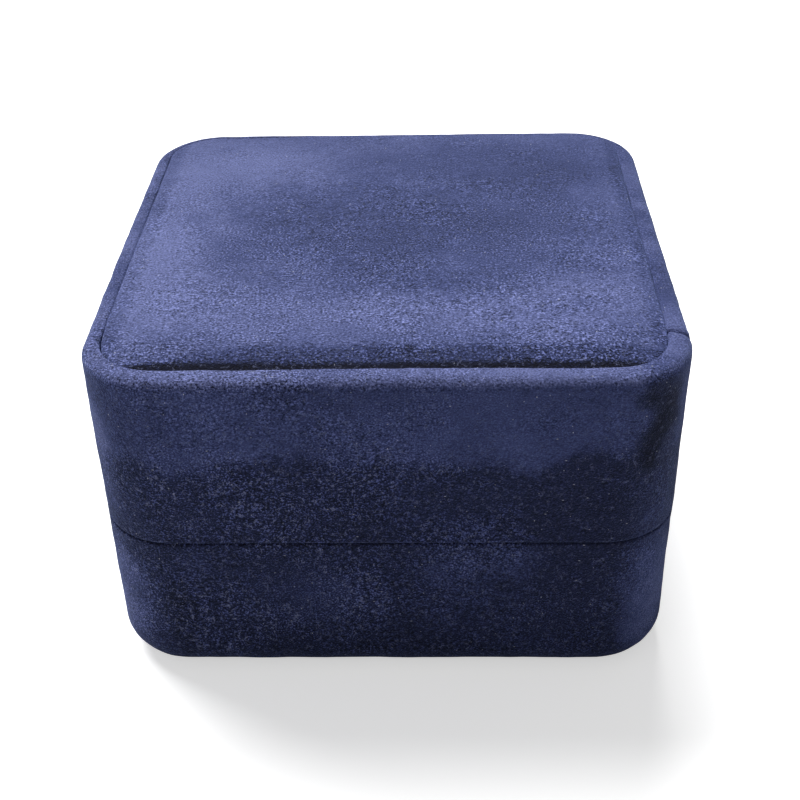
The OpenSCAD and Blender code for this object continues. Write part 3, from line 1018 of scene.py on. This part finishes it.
def closed_block(name, inset, low, high, r_low, r_high):
    """Closed rounded block, `inset` inside the box's outline."""
    half, corner = HALF - inset, CORNER_R - inset
    bends = np.radians([0, 22, 45, 67])
    over = [(r_high * (1 - math.sin(a)), high - r_high * (1 - math.cos(a))) for a in bends]
    side = [(0.0, z) for z in np.linspace(high - r_high, low + r_low, 8)]
    under = [(r_low * (1 - math.cos(a)), low + r_low * (1 - math.sin(a))) for a in np.radians([22, 45, 67])]
    insets = list(np.arange(max(r_high, 2.0) + 1.5, half - 1, 2.5))
    top = disc(name, half, corner, under[::-1] + side[::-1] + over[::-1] + [(d, high) for d in insets])
    rings = [(0.0, low)] + [(d, low) for d in np.arange(2.0, half - r_low - 1, 3.0)]
    bottom = disc(name + "_foot", half - r_low, corner - r_low, rings)
    flip(bottom)
    join(top, bottom)
    return top


SLOT_X = 18.0                            # from the middle of the box to a ring slot's middle
SLOT_LENGTH = 24.0
SLOT_WIDTH = 4.8
SLOT_DEPTH = 13.0
SLOT_LIP_R = 1.6


def slot_cutter(x, top):
    """Stadium-shaped plug whose upper end flares, to cut a slot with rounded lips."""
    profile = [(0.0, top - SLOT_DEPTH), (0.0, top - SLOT_LIP_R)]
    bends = np.radians([22, 45, 68, 84])
    profile += [(SLOT_LIP_R * (1 - math.cos(a)), top - SLOT_LIP_R * (1 - math.sin(a))) for a in bends]
    profile += [(SLOT_LIP_R * 1.3, top + 3)]
    reach = (SLOT_LENGTH - SLOT_WIDTH) / 2
    ring = 40
    points = []
    for grow, z in profile:
        for k in range(ring):
            a = 2 * math.pi * k / ring
            r = SLOT_WIDTH / 2 + grow
            points.append((x + math.copysign(reach, math.cos(a)) + r * math.cos(a), r * math.sin(a), z))
    faces = [tuple(reversed(range(ring))), tuple(range(len(points) - ring, len(points)))]
    for level in range(len(profile) - 1):
        for k in range(ring):
            a, b = level * ring + k, level * ring + (k + 1) % ring
            faces.append((a, b, b + ring, a + ring))
    return make_object("cutter", points, faces)


def ring_cushion(material):
    """Foam cushion under velvet, with two slots whose lips roll in."""
    low, high = box_mm("cushion_velvet")
    inset = HALF - float(high[0])
    bottom, top = float(low[2]), float(high[2])
    obj = closed_block("ring_cushion", inset, bottom, top, r_low=0.6, r_high=3.0)
    for x in (-SLOT_X, SLOT_X):
        cutter = slot_cutter(x, top)
        cut = obj.modifiers.new("cut", "BOOLEAN")
        cut.operation = "DIFFERENCE"
        cut.solver = "EXACT"
        cut.object = cutter
        apply_modifiers(obj)
        bpy.data.objects.remove(cutter)
    remesh(obj, 0.85)
    half = HALF - inset

    def held(p):
        edge = half - np.maximum(abs(p[:, 0]), abs(p[:, 1]))
        sides = 1 - smooth(edge, 0.3, 3.0)
        deep = 1 - smooth(p[:, 2], top - 6.5, top - 2.0)
        return np.maximum(sides, deep)

    puff(obj, held, pressure=4.0, cap=1.1)
    refine(obj)
    uneven(obj, [(0.12, 9.0)], 21.0, lambda p: smooth(p[:, 2], top - 5, top - 1.5))
    paint(obj, material)
    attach(obj, "base")
    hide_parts("cushion_velvet")


def satin_pad(material):
    """Thin satin pad in the lid, facing down, gathered at its edges."""
    low, high = box_mm("lid_pad_satin")
    inset = HALF - float(high[0])
    bottom, top = float(low[2]), float(high[2])
    obj = closed_block("lid_satin_pad", inset, bottom, top, r_low=3.0, r_high=0.3)
    remesh(obj, 1.1)
    half = HALF - inset

    def held(p):
        upper = smooth(p[:, 2], bottom + 2.8, top - 1.2)
        edge = half - np.maximum(abs(p[:, 0]), abs(p[:, 1]))
        return np.maximum(upper, 0.6 * (1 - smooth(edge, 0.2, 1.4)))

    puff(obj, held, pressure=1.6, cap=1.3, shrink=-0.06)
    refine(obj)
    paint(obj, material)
    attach(obj, "lid")
    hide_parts("lid_pad_satin")


# ---- The scene -------------------------------------------------------------------------------

SENSOR, LENS = 36.0, 59.652              # fitted to the photo's outline, as are the angles below
SHIFT_Y = 0.05                           # the fitted camera's axis is off the picture's middle
PITCH, YAW, ROLL = math.radians(35.26), math.radians(1.68), math.radians(-1.23)
LOOK_AT, DISTANCE = Vector((1.55, -20.74, 30.0)), 228.8


def camera():
    """The photograph's viewpoint."""
    data = bpy.data.cameras.new("camera")
    data.sensor_width = SENSOR
    data.lens = LENS
    data.shift_y = SHIFT_Y
    data.clip_start = 0.01
    ahead = Vector((-math.sin(YAW) * math.cos(PITCH), math.cos(YAW) * math.cos(PITCH), -math.sin(PITCH)))
    right = Vector((math.cos(YAW), math.sin(YAW), 0))
    up = right.cross(ahead)
    side = math.cos(ROLL) * right + math.sin(ROLL) * up
    over = -math.sin(ROLL) * right + math.cos(ROLL) * up
    turn = Matrix((side, over, -ahead)).transposed().to_4x4()
    obj = bpy.data.objects.new("camera", data)
    bpy.context.scene.collection.objects.link(obj)
    obj.matrix_world = Matrix.Translation((LOOK_AT - ahead * DISTANCE) * MM) @ turn
    bpy.context.scene.camera = obj


def soft_sun(name, azimuth, elevation, strength, width):
    """Even soft light from one side, `width` degrees across. Azimuth 0 is in front, and 90 to the right."""
    data = bpy.data.lights.new(name, "SUN")
    data.energy = strength
    data.angle = math.radians(width)
    a, e = math.radians(azimuth), math.radians(elevation)
    way = Vector((math.sin(a) * math.cos(e), -math.cos(a) * math.cos(e), math.sin(e)))
    obj = bpy.data.objects.new(name, data)
    bpy.context.scene.collection.objects.link(obj)
    obj.location = way
    obj.rotation_euler = (-way).to_track_quat("-Z", "Y").to_euler()


def surroundings():
    """Pale floor, dim light from all round, a broad key light from behind, and a weak one from the front.

    The floor and the background are whiter to the camera than the light that they give the box.
    """
    world = bpy.data.worlds.new("studio")
    bpy.context.scene.world = world
    world.use_nodes = True
    tree = world.node_tree
    seen = add(tree, "ShaderNodeLightPath").outputs["Is Camera Ray"]
    back = tree.nodes["Background"]
    back.inputs["Color"].default_value = rgb(1, 1, 1)
    tree.links.new(spread(tree, seen, 0.0, 1.0, 0.19, 1.05), back.inputs["Strength"])
    soft_sun("key", azimuth=-155, elevation=50, strength=6.0, width=46)
    soft_sun("fill", azimuth=-30, elevation=35, strength=0.16, width=60)
    material, tree, shader, place = new_material("floor", **{"Roughness": 0.8, "Specular IOR Level": 0.1})
    shader.inputs["Emission Color"].default_value = rgb(1, 1, 1)
    seen = add(tree, "ShaderNodeLightPath").outputs["Is Camera Ray"]
    tree.links.new(spread(tree, seen, 0.0, 1.0, 0.0, 0.55), shader.inputs["Emission Strength"])
    tint = grain(tree, place, 90.0, 2.0)
    tree.links.new(mix(tree, tint, rgb(0.80, 0.80, 0.80), rgb(0.84, 0.84, 0.84)), shader.inputs["Base Color"])
    far = 20000                          # half the floor's side
    corners = [(-far, -far, 0), (far, -far, 0), (far, far, 0), (-far, far, 0)]
    floor = make_object("floor", corners, [(0, 1, 2, 3)])
    paint(floor, material)
    bpy.context.scene.view_settings.view_transform = "Standard"


CAD_MATERIALS = {
    "black_plastic": ["base_shell", "lid_shell"],
    "grey_card": ["bottom_board", "cushion_board", "top_panel_board", "lid_pad_board"],
    "cream_foam": ["cushion_foam", "lid_pad_foam"],
    "hinge_brass": ["hinge_base_leaf", "hinge_lid_leaf", "hinge_base_rivets", "hinge_lid_rivets"],
    "nickel_steel": ["hinge_pin", "base_magnets", "lid_magnets"],
}


def paint_cad_nodes(foam_material):
    """Materials of the CAD nodes that show as they are."""
    finishes = {
        "black_plastic": moulded_plastic(),
        "grey_card": card(),
        "cream_foam": foam_material,
        "hinge_brass": brushed_metal(
            "hinge_brass",
            colour=rgb(0.78, 0.58, 0.28),
            dull=rgb(0.50, 0.36, 0.17),
            worn=rgb(0.92, 0.80, 0.55),
            roughness=0.30,
        ),
        "nickel_steel": brushed_metal(
            "nickel_steel",
            colour=rgb(0.62, 0.61, 0.59),
            dull=rgb(0.42, 0.41, 0.40),
            worn=rgb(0.80, 0.80, 0.79),
            roughness=0.28,
        ),
    }
    for finish, nodes in CAD_MATERIALS.items():
        for node in nodes:
            paint(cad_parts[node], finishes[finish])


camera()
surroundings()
foam_material = foam()
paint_cad_nodes(foam_material)
wrap = velvet("navy_velvet", contrast=0.6, sheen=0.22, marks=WALL_MARKS, shade=wrap_painted_light, calm=wrap_calm)
top_velvet = velvet(
    "navy_velvet_top", contrast=0.45, seed=31.0, sheen=0.30, fibre=0.35, pile=0.34,
    marks=TOP_MARKS, shade=panel_painted_shade, calm=panel_calm,
)
base_velvet(wrap)
lid_velvet(wrap)
top_panel(top_velvet, foam_material)
underside_cover(felt())
lining_velvet = velvet("navy_lining", patch=14.0, contrast=0.7, lint=0.4, seed=57.0)
lining("base_lining", "base_side_lining", "base", lining_velvet, rim_up=True, seed=31.0)
lining("lid_lining", "lid_side_lining", "lid", lining_velvet, rim_up=False, seed=37.0)
ring_cushion(velvet("navy_velvet_cushion", patch=14.0, contrast=0.8, lint=0.5, seed=83.0))
satin_pad(satin())
